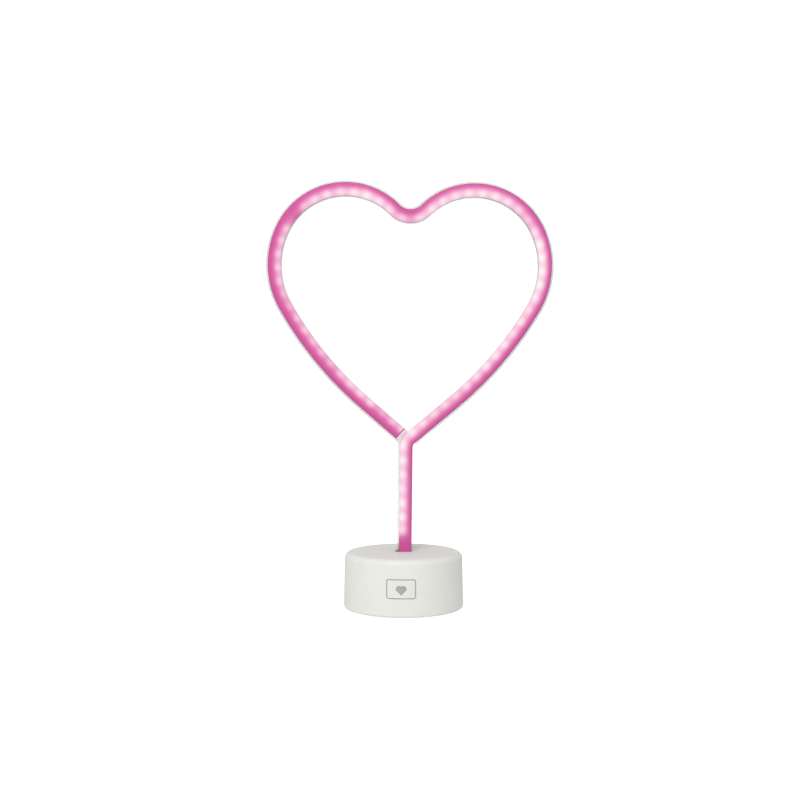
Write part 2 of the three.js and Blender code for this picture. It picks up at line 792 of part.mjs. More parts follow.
// A ridged knob; it stands at ON and slides towards +X to OFF.
function switchKnob() {
  const start = boardBack + switchBody.depth - 1.5 + gap;
  const end = rearFlat + knob.proud;
  const halfX = knob.width / 2;
  const halfZ = knob.height / 2;
  const body = block([knob.x - halfX, start, knob.z - halfZ], [knob.x + halfX, end, knob.z + halfZ]);
  const grooves = [-1, 0, 1].map((step) => {
    const x = knob.x + step * 1;
    return block([x - 0.2, end - 0.35, knob.z - halfZ - bite], [x + 0.2, end + bite, knob.z + halfZ + bite]);
  });
  return cut(body, ...grooves);
}

// Small parts soldered to the board's inner face.
function boardChip(x) {
  const front = boardFront - gap - chip.thick;
  const z = board.z + chip.up;
  return block([x, front, z], [x + chip.width, front + chip.thick, z + chip.height]);
}

// ---- Leads ----

// A round lead through hand-placed points.
function lead(points) {
  const sides = 6;
  const ring = Array.from({ length: sides }, (_, side) => {
    const angle = (side * 2 * Math.PI) / sides;
    return new THREE.Vector2(leadRadius * Math.cos(angle), leadRadius * Math.sin(angle));
  });
  const path = new THREE.CatmullRomCurve3(points.map((point) => new THREE.Vector3(...point)));
  const steps = 5 * (points.length - 1);
  return solid(new THREE.ExtrudeGeometry(new THREE.Shape(ring), { steps, extrudePath: path }));
}

const solderY = boardFront - gap - leadRadius;

function batteryLead(tab, solderX) {
  const [x, y] = leadTabPlaces()[tab];
  const inward = y - Math.sign(y) * (contactThick / 2 + gap + leadRadius);
  const z = leadHeight + 0.7;
  return lead([
    [x, inward, z],
    [x + (solderX - x) * 0.1, inward - Math.sign(y) * 4, leadHeight + 0.2],
    [x + (solderX - x) * 0.5, (inward + 20) / 2, leadHeight],
    [solderX, 24, leadHeight],
    [solderX, solderY - 2, leadHeight],
    [solderX, solderY, leadHeight + 0.1],
  ]);
}

function lampLead(side, solderX) {
  const x = stemOffset + side * 1.6;
  const top = stemFoot - gap;
  return lead([
    [x, 0, top],
    [x, 0.4, leadHeight + 0.3],
    [x + side * 0.4, 3, leadHeight],
    [(x + solderX) / 2, 14, leadHeight],
    [solderX, 26, leadHeight],
    [solderX, solderY, leadHeight + 0.1],
  ]);
}

// ---- Finishes ----

const finish = (color, roughness, metalness = 0) =>
  new THREE.MeshStandardMaterial({ color, roughness, metalness });
const finishes = {
  shell: () => finish(0xe9e8e4, 0.55),
  cover: () => finish(0xdedcd6, 0.6),
  neon: () => finish(0xe872a8, 0.4),
  channel: () => finish(0xdfe4e4, 0.2),
  tape: () => finish(0xf4f1ea, 0.5),
  steel: () => finish(0xb8bbbf, 0.3, 1),
  board: () => finish(0x2f6b46, 0.5),
  rubber: () => finish(0xc9c7c2, 0.85),
  dark: () => finish(0x24262a, 0.45),
  cell: () => finish(0x3c4650, 0.35),
  red: () => finish(0xb3262a, 0.45),
};

// ---- Assembly ----

// The heart turns a little about the middle of its socket, and the base stands to the left of the
// origin, so that the heart's widest part is centred on it.
const socketMiddle = (stemFoot + topInside) / 2;
const wideZ = halfHeart(0).reduce((widest, station) => (station.x > widest.x ? station : widest)).z;
const leanX = (wideZ - socketMiddle) * Math.sin(rad(heartLean));
const wideX = stemOffset - stemX * Math.cos(rad(heartLean)) + leanX;
const lamp = new THREE.Group();
const base = new THREE.Group();
base.position.x = -wideX;
lamp.add(base);
const leaning = new THREE.Group();
leaning.position.set(stemOffset, 0, socketMiddle);
leaning.rotation.y = rad(heartLean);
base.add(leaning);
const heart = new THREE.Group();
heart.position.set(-stemX, 0, -socketMiddle);
leaning.add(heart);

function piece(group, name, made, material) {
  const mesh = new THREE.Mesh(geometryOf(made), material);
  mesh.name = name;
  group.add(mesh);
  return mesh;
}

const sleeveEnd = sleeveRoute[sleeveRoute.length - 1];
const pastEnd = { x: sleeveEnd.x + gap * Math.cos(slope), z: sleeveEnd.z - gap * Math.sin(slope) };
piece(heart, "backing_channel", backingChannel(), finishes.channel());
piece(heart, "neon_sleeve", neonSleeve(), finishes.neon());
piece(heart, "led_tape", ledTape(), finishes.tape());
piece(heart, "sleeve_end_cap", sleeveCap(pastEnd, sleeveEnd.heading), finishes.neon());
const footCap = sleeveCap({ x: stemX, z: stemFoot }, Math.PI / 2);
piece(heart, "sleeve_foot_cap", footCap, finishes.neon());

piece(base, "base_shell", baseShell(), finishes.shell());
piece(base, "bottom_cover", bottomCover(), finishes.cover());
piece(base, "battery_door", batteryDoor(), finishes.cover());
for (let index = 0; index < cellCount; index++) {
  piece(base, `battery_cell_${index + 1}`, cell(index), finishes.cell());
}
piece(base, "contact_plus", contactPlus(), finishes.steel());
piece(base, "contact_minus", contactMinus(), finishes.steel());
for (let index = 0; index < cellCount - 1; index++) {
  piece(base, `contact_link_${index + 1}`, contactLink(index), finishes.steel());
}
piece(base, "stem_clamp", stemClamp(), finishes.cover());
piece(base, "circuit_board", circuitBoard(), finishes.board());
piece(base, "usb_socket", usbSocket(), finishes.steel());
piece(base, "usb_tongue", usbTongue(), finishes.dark());
piece(base, "switch_case", switchCase(), finishes.steel());
piece(base, "switch_knob", switchKnob(), finishes.dark());
piece(base, "limit_resistor", boardChip(-6), finishes.dark());
piece(base, "supply_diode", boardChip(3), finishes.dark());
piece(base, "battery_lead_red", batteryLead(0, -11), finishes.red());
piece(base, "battery_lead_black", batteryLead(1, 11), finishes.dark());
piece(base, "lamp_lead_red", lampLead(-1, -4), finishes.red());
piece(base, "lamp_lead_black", lampLead(1, 4), finishes.dark());

casePostPlaces().forEach(([x, y], index) => {
  const head = coverLow + gap;
  const screwSolid = screw(caseScrew).translate([x, y, head]);
  piece(base, `case_screw_${index + 1}`, screwSolid, finishes.steel());
});
footPadPlaces().forEach(([x, y], index) => {
  piece(base, `foot_pad_${index + 1}`, footPadSolid().translate([x, y, 0]), finishes.rubber());
});
[-1, 1].forEach((side, index) => {
  const boardHead = boardFront - gap - boardScrew.cap;
  const holdsBoard = alongY(screw(boardScrew), side * board.holeX, boardHead, boardHoleZ);
  piece(base, `board_screw_${index + 1}`, holdsBoard, finishes.steel());
  const clampHead = clampY + clampThick + gap + clampScrew.cap;
  const turnedRound = screw(clampScrew).rotate([90, 0, 0]).translate([clampScrewX(side), clampHead, clampZ]);
  piece(base, `clamp_screw_${index + 1}`, turnedRound, finishes.steel());
});

export default lamp;
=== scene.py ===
import json
from math import ceil, cos, pi, radians, sin, tan

import bmesh
import bpy
from mathutils import Matrix, Vector

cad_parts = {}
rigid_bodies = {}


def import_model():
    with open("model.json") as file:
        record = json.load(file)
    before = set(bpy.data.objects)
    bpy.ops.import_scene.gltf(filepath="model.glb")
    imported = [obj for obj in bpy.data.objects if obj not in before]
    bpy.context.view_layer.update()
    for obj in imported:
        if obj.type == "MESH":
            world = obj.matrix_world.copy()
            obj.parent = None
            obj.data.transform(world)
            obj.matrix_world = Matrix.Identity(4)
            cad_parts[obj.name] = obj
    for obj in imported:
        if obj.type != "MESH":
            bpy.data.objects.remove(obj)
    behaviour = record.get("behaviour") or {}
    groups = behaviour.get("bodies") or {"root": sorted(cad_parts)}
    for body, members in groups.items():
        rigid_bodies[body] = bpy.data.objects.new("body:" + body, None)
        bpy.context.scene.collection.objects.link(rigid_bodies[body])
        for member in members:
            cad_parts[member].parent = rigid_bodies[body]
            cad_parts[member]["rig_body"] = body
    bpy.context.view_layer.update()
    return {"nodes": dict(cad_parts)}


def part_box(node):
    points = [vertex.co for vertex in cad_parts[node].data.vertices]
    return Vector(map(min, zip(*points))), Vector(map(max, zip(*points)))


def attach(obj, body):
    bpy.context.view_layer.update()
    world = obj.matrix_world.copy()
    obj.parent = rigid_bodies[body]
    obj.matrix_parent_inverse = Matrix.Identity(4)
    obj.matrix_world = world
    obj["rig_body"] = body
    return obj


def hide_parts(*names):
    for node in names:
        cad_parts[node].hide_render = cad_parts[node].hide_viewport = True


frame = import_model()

mm = 0.001

# ---- Camera ----
# It stands on a tripod 0.78 m in front of the lamp, a little over half the lamp's height, and
# looks down by less than a degree.
bpy.ops.object.select_all(action="DESELECT")
camera_place, look_down = (-6.91 * mm, -0.78, 0.158), 0.86
bpy.ops.object.camera_add(location=camera_place, rotation=(radians(90 - look_down), 0, 0))
camera = bpy.context.object
camera.name = "camera"
camera.data.sensor_width = 36
camera.data.lens = 49.6
camera.data.clip_start = 0.02
bpy.context.scene.camera = camera
bpy.context.scene.view_settings.view_transform = "Standard"


# ---- Studio ----
# A pale table in a white room. One large softbox stands to the front left, above the lamp, and
# the room itself fills the shadows.
def paint(red, green, blue):
    """A screen colour, 0 to 255 each, as the light that it stands for."""
    def light(value):
        share = value / 255
        return share / 12.92 if share <= 0.04045 else ((share + 0.055) / 1.055) ** 2.4
    return (light(red), light(green), light(blue), 1)


class Wire:
    """What comes out of a shader node. Arithmetic on it adds Math nodes."""

    def __init__(self, shader, socket):
        self.shader = shader
        self.socket = socket

    def maths(self, operation, first, second=0.0):
        return self.shader.node("ShaderNodeMath", {"operation": operation}, {0: first, 1: second})

    def __add__(self, other):
        return self.maths("ADD", self, other)

    def __radd__(self, other):
        return self.maths("ADD", other, self)

    def __sub__(self, other):
        return self.maths("SUBTRACT", self, other)

    def __rsub__(self, other):
        return self.maths("SUBTRACT", other, self)

    def __mul__(self, other):
        return self.maths("MULTIPLY", self, other)

    def __rmul__(self, other):
        return self.maths("MULTIPLY", other, self)

    def __truediv__(self, other):
        return self.maths("DIVIDE", self, other)


class Shader:
    """A node tree of a material or of the world."""

    def __init__(self, owner):
        owner.use_nodes = True
        self.owner = owner
        self.tree = owner.node_tree
        self.tree.nodes.clear()

    def node(self, kind, settings=None, inputs=None, output=0):
        made = self.tree.nodes.new(kind)
        for key, value in (settings or {}).items():
            if key == "stops":
                stops = made.color_ramp.elements
                while len(stops) < len(value):
                    stops.new(1)
                for stop, (place, colour) in zip(stops, value):
                    stop.position = place
                    stop.color = colour
            else:
                setattr(made, key, value)
        for key, value in (inputs or {}).items():
            if isinstance(value, Wire):
                self.tree.links.new(value.socket, made.inputs[key])
            else:
                made.inputs[key].default_value = value
        return Wire(self, made.outputs[output])

    def place(self):
        return self.node("ShaderNodeTexCoord", output="Object")

    def parts(self, vector):
        return [self.node("ShaderNodeSeparateXYZ", {}, {0: vector}, axis) for axis in "XYZ"]

    def stretched(self, vector, scale):
        return self.node("ShaderNodeVectorMath", {"operation": "MULTIPLY"}, {0: vector, 1: scale})

    def noise(self, vector, size, detail=3.0, rough=0.5):
        """Cloudy noise from 0 to 1 whose features are about that size in metres."""
        settings = {"Vector": vector, "Scale": 1 / size, "Detail": detail, "Roughness": rough}
        return self.node("ShaderNodeTexNoise", {}, settings)

    def smooth(self, value, low, high):
        """0 below low, 1 above high, and a soft step in between."""
        settings = {"interpolation_type": "SMOOTHSTEP"}
        inputs = {"Value": value, "From Min": low, "From Max": high, "To Min": 0.0, "To Max": 1.0}
        return self.node("ShaderNodeMapRange", settings, inputs)

    def mix(self, share, first, second):
        inputs = {0: share, 6: first, 7: second}
        return self.node("ShaderNodeMix", {"data_type": "RGBA"}, inputs, 2)

    def bump(self, height, depth, strength=1.0):
        """A normal from a height of 0 to 1 that stands for that depth in metres."""
        inputs = {"Strength": strength, "Distance": depth, "Height": height}
        return self.node("ShaderNodeBump", {}, inputs)

    def edges(self, radius):
        """1 on sharp edges, 0 on the flats between them."""
        rounded = self.node("ShaderNodeBevel", {"samples": 4}, {"Radius": radius})
        face = self.node("ShaderNodeNewGeometry", output="Normal")
        settings = {"operation": "DOT_PRODUCT"}
        agree = self.node("ShaderNodeVectorMath", settings, {0: rounded, 1: face}, "Value")
        return self.smooth(1 - agree, 0.01, 0.2)

    def seen(self):
        """1 where a ray sees this directly or through clear plastic, 0 where it gathers light."""
        rays = ("Is Camera Ray", "Is Transmission Ray")
        return sum(self.node("ShaderNodeLightPath", output=ray) for ray in rays)

    def surface(self, inputs):
        self.show(self.node("ShaderNodeBsdfPrincipled", {}, inputs))

    def show(self, shown):
        """Links a finished shader to the output of the material or the world."""
        is_world = isinstance(self.owner, bpy.types.World)
        kind = "ShaderNodeOutputWorld" if is_world else "ShaderNodeOutputMaterial"
        out = self.tree.nodes.new(kind)
        self.tree.links.new(shown.socket, out.inputs["Surface"])


def finish_of(name):
    return Shader(bpy.data.materials.new(name))


room = Shader(bpy.data.worlds.new("room"))
bpy.context.scene.world = room.owner
# White where it is seen, and dimmer as a light
white, black = (1, 1, 1, 1), (0, 0, 0, 1)
room_light, room_seen = 0.6, 0.42
room_strength = room_light + room_seen * room.seen()
room.show(room.node("ShaderNodeBackground", {}, {"Color": white, "Strength": room_strength}))


def softbox(place, target, size, power):
    bpy.ops.object.light_add(type="AREA", location=place)
    box = bpy.context.object
    box.rotation_euler = (Vector(target) - Vector(place)).to_track_quat("-Z", "Y").to_euler()
    box.data.size = size
    box.data.energy = power


softbox(place=(-0.30, -0.95, 0.98), target=(0, 0, 0.04), size=0.7, power=9)

bpy.ops.mesh.primitive_grid_add(x_subdivisions=8, y_subdivisions=8, size=6, location=(0, 0, 0))
table = bpy.context.object
table.name = "table"
paper = finish_of("pale_paper")
fibres = paper.noise(paper.place(), 0.6 * mm, 4)
paper_white = paper.mix(fibres, (0.90, 0.90, 0.90, 1), (0.94, 0.94, 0.94, 1))
paper_light = paper.mix(paper.seen(), black, white)
paper.surface({"Base Color": paper_white, "Roughness": 0.9, "Emission Color": paper_light,
               "Emission Strength": 0.7, "Normal": paper.bump(fibres, 0.02 * mm)})
table.data.materials.append(paper.owner)


# ---- Neon sleeve ----
# A soft extruded silicone tube, bent along the heart. It is lit from inside by LEDs that stand in
# its outer half and shine towards the inside of the heart, so that its inner half glows.
def walk(start, moves, step=1.0 * mm):
    """Points (x, z) along straight runs and tangent arcs; a positive turn is to the left."""
    x, z, heading = start
    points = [(x, z)]
    for move in moves:
        if len(move) == 1:
            length = move[0]
            count = max(1, ceil(length / step))
            for i in range(1, count + 1):
                gone = length * i / count
                points.append((x + gone * cos(heading), z + gone * sin(heading)))
            x, z = points[-1]
            continue
        radius, turn = move[0], radians(move[1])
        side = 1 if turn > 0 else -1
        arm = side * radius
        centre_x, centre_z = x - arm * sin(heading), z + arm * cos(heading)
        count = max(3, ceil(radius * abs(turn) / step))
        for i in range(1, count + 1):
            angle = heading + turn * i / count
            points.append((centre_x + arm * sin(angle), centre_z - arm * cos(angle)))
        heading += turn
        x, z = points[-1]
    return points


# The heart's arcs, each a radius and a turn in degrees, from the dip down to the straight slope
slope_turn = 40.4
lobe, flank, limb = (49.1 * mm, 108.7), (58.7 * mm, 56), (259.5 * mm, 19.5)
dip = (15.8 * mm, lobe[1] + flank[1] + limb[1] + slope_turn - 180)
dip_height = 276.1 * mm
slope = radians(slope_turn)
strip_wide, strip_deep, strip_round = 9 * mm, 7.5 * mm, 1.6 * mm
half_wide, half_deep = strip_wide / 2, strip_deep / 2
clear, cap_long, cap_to_stem = 0.3 * mm, 1.5 * mm, 0.6 * mm
bend_radius = 9 * mm
stem_x, stem_foot = -1.1 * mm, 22 * mm


def half_heart(run):
    """From the dip to the right and down, ending in a straight run."""
    turns = [dip, (lobe[0], -lobe[1]), (flank[0], -flank[1]), (limb[0], -limb[1])]
    return walk((0, dip_height, 0), turns + ([(run,)] if run else []))


limb_x, limb_z = half_heart(0)[-1]
bend_turn = 90 - slope_turn
bend_x = stem_x + bend_radius * (1 - cos(radians(bend_turn)))
bend_z = limb_z + (bend_x - limb_x) * tan(slope)
stem_top = bend_z - bend_radius * sin(radians(bend_turn))
right_run = (limb_x - bend_x) / cos(slope)
left_run = limb_x / cos(slope) - (half_wide + 2 * clear + cap_to_stem) / sin(2 * slope)


def strip_route(foot, short):
    """From a height on the stem, round the heart, to that much short of the square end."""
    heart = [limb, flank, lobe, (dip[0], -2 * dip[1]), lobe, flank, limb]
    stem = [(stem_top - foot,), (bend_radius, -bend_turn), (right_run,)]
    return walk((stem_x, foot, pi / 2), stem + heart + [(left_run - short,)])


base_low, base_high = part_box("base_shell")
base_x = (base_low.x + base_high.x) / 2
# Drawn flat, then stood up and turned by a slight lean about the socket's middle
socket_middle, stem_offset, lean = 28.7 * mm, 1.05 * mm, radians(0.62)
stand_up = Matrix.Rotation(pi / 2, 4, "X")
to_socket = Matrix.Translation((-stem_x, 0, -socket_middle))
lean_turn = Matrix.Rotation(lean, 4, "Y")
from_socket = Matrix.Translation((base_x + stem_offset, 0, socket_middle))
heart_place = from_socket @ lean_turn @ to_socket @ stand_up


def pick(kind, test):
    """Selects only the edges or faces whose middle and direction pass the test."""
    bpy.ops.mesh.select_mode(type=kind)
    bpy.ops.mesh.select_all(action="DESELECT")
    shape = bmesh.from_edit_mesh(bpy.context.object.data)
    if kind == "FACE":
        for face in shape.faces:
            face.select_set(test(face.calc_center_median(), face.normal))
    else:
        for edge in shape.edges:
            a, b = edge.verts[0].co, edge.verts[1].co
            if test((a + b) / 2, (b - a).normalized()):
                edge.select_set(True)
    bmesh.update_edit_mesh(bpy.context.object.data)


def route_length(points):
    return sum((Vector(b) - Vector(a)).length for a, b in zip(points, points[1:]))


def straight_bar(length, low, high, rounding, segments=4):
    """A bar along X with its long edges rounded and cut across so that it can bend."""
    size = (length, high[0] - low[0], high[1] - low[1])
    middle = (length / 2, (high[0] + low[0]) / 2, (high[1] + low[1]) / 2)
    bpy.ops.mesh.primitive_cube_add(size=1, location=middle)
    bar = bpy.context.object
    bar.scale = size
    bpy.ops.object.transform_apply(location=True, rotation=False, scale=True)
    bpy.ops.object.mode_set(mode="EDIT")
    if rounding:
        pick("EDGE", lambda at, way: abs(way.x) > 0.9)
        bpy.ops.mesh.bevel(offset=rounding, segments=segments, affect="EDGES")
    # One subdivision makes at most 100 cuts, so that a long bar takes three to reach 600 parts
    for cuts in (19, 4, 5) if length > 0.2 else (19, 2):
        pick("EDGE", lambda at, way: abs(way.x) > 0.9)
        bpy.ops.mesh.subdivide(number_cuts=cuts)
    bpy.ops.object.mode_set(mode="OBJECT")
    return bar


def cut_or_join(piece, tool, operation):
    """Cuts a tool out of the piece or joins it on, and uses the tool up."""
    bpy.context.view_layer.objects.active = piece
    change = piece.modifiers.new("change", "BOOLEAN")
    change.object = tool
    change.operation = operation
    change.solver = "EXACT"
    bpy.ops.object.modifier_apply(modifier=change.name)
    bpy.data.objects.remove(tool)


def bent(bar, points, place):
    """Bends a straight bar along a route drawn flat, then stands it up in its place."""
    line = bpy.data.curves.new("route", "CURVE")
    line.dimensions = "2D"
    spline = line.splines.new("POLY")
    spline.points.add(len(points) - 1)
    for point, (x, z) in zip(spline.points, points):
        point.co = (x, z, 0, 1)
    guide = bpy.data.objects.new("route", line)
    bpy.context.collection.objects.link(guide)
    bend = bar.modifiers.new("bend", "CURVE")
    bend.object = guide
    bend.deform_axis = "POS_X"
    bpy.ops.object.select_all(action="DESELECT")
    bar.select_set(True)
    bpy.context.view_layer.objects.active = bar
    bpy.ops.object.modifier_apply(modifier=bend.name)
    bpy.data.objects.remove(guide)
    bar.matrix_world = place
    bpy.ops.object.transform_apply(location=True, rotation=True, scale=True)
    return bar


def settled(piece, name, body, *nodes, sharp=35):
    """Names a finished piece, shades it and lets it ride in place of its CAD nodes."""
    piece.name = name
    bpy.ops.object.select_all(action="DESELECT")
    piece.select_set(True)
    bpy.context.view_layer.objects.active = piece
    bpy.ops.object.shade_smooth_by_angle(angle=radians(sharp))
    # Large flats stay flat beside their rounded edges
    even = piece.modifiers.new("even", "WEIGHTED_NORMAL")
    even.keep_sharp = True
    even.weight = 80
    bpy.ops.object.modifier_apply(modifier=even.name)
    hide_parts(*nodes)
    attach(piece, body)


sleeve_foot = stem_foot + cap_long
sleeve_route = strip_route(sleeve_foot, cap_long)
sleeve_long = route_length(sleeve_route)
sleeve = straight_bar(sleeve_long, (-half_wide, -half_deep), (half_wide, half_deep), strip_round)
# The tape's cavity runs out past both ends
cavity_low, cavity_high, past_end = (-3.4 * mm, -2.9 * mm), (-1.2 * mm, 2.9 * mm), 1 * mm
cavity = straight_bar(sleeve_long + 2 * past_end, cavity_low, cavity_high, 0)
cavity.location.x = -past_end
cut_or_join(sleeve, cavity, "DIFFERENCE")
# The glow is laid out along the straight strip, starting where the stem leaves the base
along_strip = sleeve.data.uv_layers.new(name="along_strip")
in_base = 38 * mm - sleeve_foot
for loop in sleeve.data.loops:
    at = sleeve.data.vertices[loop.vertex_index].co
    along_strip.data[loop.index].uv = (at.x - in_base, -at.y)
bent(sleeve, sleeve_route, heart_place)
settled(sleeve, "neon_sleeve_soft", "lamp", "neon_sleeve", sharp=50)

led_pitch = 10.03 * mm
neon = finish_of("pink_silicone")
strip_place = neon.node("ShaderNodeUVMap", {"uv_map": "along_strip"})
along, across, _ = neon.parts(strip_place)
# Millimetres from the base up the stem and round the heart, how bright the strip is there, and
# how far out its glow reaches
stretches = [
    (0, 0, 0.8), (9, 0.02, 0.8), (17, 0.85, 0.76), (88, 0.86, 0.74), (104, 0.68, 0.6),
    (136, 0.72, 0.58), (166, 0.84, 0.56), (205, 0.8, 0.6), (228, 1, 0.7), (256, 1, 0.7),
    (275, 0.6, 0.6), (300, 0.84, 0.74), (362, 0.8, 0.7), (373, 0.5, 0.5), (386, 0.78, 0.55),
    (408, 0.95, 0.7), (430, 0.72, 0.6), (452, 0.76, 0.55), (466, 0.12, 0.3), (478, 0.66, 0.37),
    (520, 0.66, 0.35), (536, 0.5, 0.35), (560, 0.64, 0.4), (590, 0.48, 0.38), (603, 0.76, 0.42),
    (624, 0.74, 0.4), (636, 0.48, 0.36), (659, 0.76, 0.4),
]
pattern_end = 660
ramp_stops = [(place / pattern_end, (power, reach, 0, 1)) for place, power, reach in stretches]
here = neon.node("ShaderNodeValToRGB", {"stops": ramp_stops}, {"Fac": along / (pattern_end * mm)})
bright, reach, _ = neon.parts(here)
first_led = 5.6 * mm
led_count = (along - first_led) / led_pitch + 0.5
within_pitch = neon.node("ShaderNodeMath", {"operation": "FRACT"}, {0: led_count})
led_off = (within_pitch - 0.5) * (led_pitch / mm)
led_number = neon.node("ShaderNodeMath", {"operation": "FLOOR"}, {0: led_count})
led_power = neon.node("ShaderNodeTexWhiteNoise", {"noise_dimensions": "1D"}, {"W": led_number})
# Each LED makes a soft spot about 6 mm across on the strip's inner half
across_mm = across / mm
lift = across_mm + 2.6
spread = led_off * led_off / 9 + lift * lift / 8
blob = neon.node("ShaderNodeMath", {"operation": "EXPONENT"}, {0: 0 - spread})
uneven = neon.noise(neon.stretched(strip_place, (1, 0, 1)), 9 * mm, 2)
reach_out = 4 * reach - 2 + (uneven - 0.5) * 1.4
glow_band = 1 - neon.smooth(across_mm - reach_out, -3.7, 3.7)
level = bright * (0.73 * glow_band + (0.26 + 0.16 * led_power) * blob)
glow_stops = [
    (0, (0.13, 0.03, 0.10, 1)), (0.2, (0.24, 0.12, 0.21, 1)), (0.42, (0.38, 0.32, 0.38, 1)),
    (0.7, (0.50, 0.58, 0.56, 1)), (1, (0.56, 0.84, 0.72, 1)),
]
glow = neon.node("ShaderNodeValToRGB", {"stops": glow_stops}, {"Fac": level})
streaks = neon.noise(neon.stretched(strip_place, (0.05, 1, 1)), 0.35 * mm, 2)
pores = neon.noise(neon.place(), 0.25 * mm, 3)
dusty = neon.noise(neon.place(), 14 * mm, 4)
worn = neon.edges(0.5 * mm)
# The sides fade towards the back, where the channel holds them. Painted shade: the outer edge
# and the square end are painted nearly black, as shade at the rounded edge and the end's shadow
_, depth, _ = neon.parts(neon.place())
faded = neon.smooth(depth / mm, -2.2, 1.5) * 0.8
painted_edge_shade = neon.smooth(across_mm, 3.7, 4.6) * 0.6
end_at = (sleeve_long - in_base) / mm
painted_end_shade = neon.smooth(along / mm, end_at - 0.9, end_at - 0.4)
painted_edge_shade = neon.node("ShaderNodeMath", {"operation": "MAXIMUM"}, {0: painted_edge_shade, 1: painted_end_shade})
emitted = neon.mix(faded, glow, (0.10, 0.07, 0.085, 1))
emitted = neon.mix(painted_edge_shade, emitted, (0.01, 0.002, 0.02, 1))
# Its light is faint beside the studio's, so little of it falls on the base
falls_on_matt = neon.node("ShaderNodeLightPath", output="Is Diffuse Ray")
emitted = neon.mix(falls_on_matt * 0.75, emitted, black)
body_pink = neon.mix(dusty * 0.15 + worn * 0.1, (0.44, 0.045, 0.19, 1), (0.50, 0.09, 0.26, 1))
neon.surface({"Base Color": body_pink, "Roughness": 0.34 + streaks * 0.1 + dusty * 0.1,
              "Emission Color": emitted, "Emission Strength": 1.0,
              "Specular IOR Level": 0.35, "IOR": 1.41,
              "Normal": neon.bump(streaks * 0.6 + pores * 0.4, 0.03 * mm)})
sleeve.data.materials.append(neon.owner)


# ---- Sleeve caps ----
# A moulded silicone cap closes each end of the sleeve, glued on. The upper one shows as a pale
# band at the strip's square end.
def refined(node, name, edge, segments=2, sharp=30):
    """A merged copy of a CAD node with its hard edges rounded; it replaces that node."""
    source = frame["nodes"][node]
    piece = bpy.data.objects.new(name, source.data.copy())
    bpy.context.collection.objects.link(piece)
    piece.data.materials.clear()
    bpy.ops.object.select_all(action="DESELECT")
    piece.select_set(True)
    bpy.context.view_layer.objects.active = piece
    bpy.ops.object.mode_set(mode="EDIT")
    bpy.ops.mesh.select_all(action="SELECT")
    bpy.ops.mesh.remove_doubles(threshold=1e-6)
    bpy.ops.mesh.dissolve_limited(angle_limit=radians(0.5))
    bpy.ops.object.mode_set(mode="OBJECT")
    if edge:
        bevel = piece.modifiers.new("edges", "BEVEL")
        bevel.width = edge
        bevel.segments = segments
        bevel.limit_method = "ANGLE"
        bevel.angle_limit = radians(sharp)
        bpy.ops.object.modifier_apply(modifier=bevel.name)
    settled(piece, name, source["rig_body"], node, sharp=sharp + 5)
    return piece


def silicone_cap(name, shade):
    cap_finish = finish_of(name)
    cloud = cap_finish.noise(cap_finish.place(), 2 * mm, 3)
    pores = cap_finish.noise(cap_finish.place(), 0.25 * mm, 3)
    worn = cap_finish.edges(0.4 * mm)
    colour = cap_finish.mix(cloud * 0.3 + worn * 0.3, shade, paint(246, 190, 216))
    # Painted light: the cap glows faintly in its own colour, which brightens it as though lit
    cap_finish.surface({"Base Color": colour, "Roughness": 0.4 + pores * 0.15, "Emission Color": colour,
                        "Emission Strength": 0.12, "Normal": cap_finish.bump(pores, 0.03 * mm)})
    return cap_finish.owner


for node, shade in (("sleeve_end_cap", paint(244, 205, 224)), ("sleeve_foot_cap", paint(200, 74, 140))):
    cap = refined(node, node + "_moulded", 0.3 * mm, 3)
    cap.data.materials.append(silicone_cap(node, shade))


# ---- LED tape ----
# A flexible circuit on edge in the sleeve's cavity: white solder mask, small LEDs every 10 mm,
# each a yellow phosphor window in a white case. It is slid in before the sleeve is capped.
def dress(piece, shader, slot_name):
    piece.data.materials.clear()
    piece.data.materials.append(shader.owner)


tape = refined("led_tape", "led_tape_fitted", 0.06 * mm, 1)
mask = finish_of("white_solder_mask")
grain = mask.noise(mask.place(), 0.5 * mm, 4)
print_blotch = mask.noise(mask.place(), 6 * mm, 2)
mask_colour = mask.mix(print_blotch, paint(236, 232, 222), paint(247, 244, 236))
mask_colour = mask.mix(mask.edges(0.1 * mm) * 0.6, mask_colour, paint(232, 205, 120))
mask.surface({"Base Color": mask_colour, "Roughness": 0.42 + grain * 0.15,
              "Normal": mask.bump(grain, 0.02 * mm)})
dress(tape, mask, "tape_white")


# ---- Backing channel ----
# Clear, slightly milky plastic cut from sheet: a web behind the strip, a wall round the outside
# of the heart and a wall on the stem's left. The strip is pressed in and glued to the web.
web_back, lip_front, groove_floor = -5.35 * mm, -0.85 * mm, -4.05 * mm
groove_side = half_wide + clear
wall_side = groove_side + 1.2 * mm


def channel_bar(points, thinner=0):
    low, high = web_back + thinner, lip_front - thinner
    return straight_bar(route_length(points), (-half_wide, low), (wall_side, high), 0)


flat = Matrix.Identity(4)
right_route = half_heart(right_run + 0.4 * mm)
left_route = half_heart(left_run + half_wide)
stem_route = walk((stem_x, stem_foot, pi / 2), [(stem_top - stem_foot,), (bend_radius, -bend_turn)])
channel = bent(channel_bar(right_route), right_route, flat)
left_half = bent(channel_bar(left_route), left_route, flat)
left_half.scale.x = -1
bpy.ops.object.transform_apply(location=False, rotation=False, scale=True)
bpy.ops.object.mode_set(mode="EDIT")
bpy.ops.mesh.select_all(action="SELECT")
bpy.ops.mesh.normals_make_consistent(inside=False)
bpy.ops.object.mode_set(mode="OBJECT")
stem_back = bent(channel_bar(stem_route, 0.03 * mm), stem_route, flat)
cut_or_join(channel, left_half, "UNION")
cut_or_join(channel, stem_back, "UNION")
groove_route = strip_route(stem_foot - 0.5 * mm, -clear)
groove = straight_bar(route_length(groove_route), (-groove_side, groove_floor), (groove_side, 0), 0)
cut_or_join(channel, bent(groove, groove_route, flat), "DIFFERENCE")
bpy.ops.object.select_all(action="DESELECT")
channel.select_set(True)
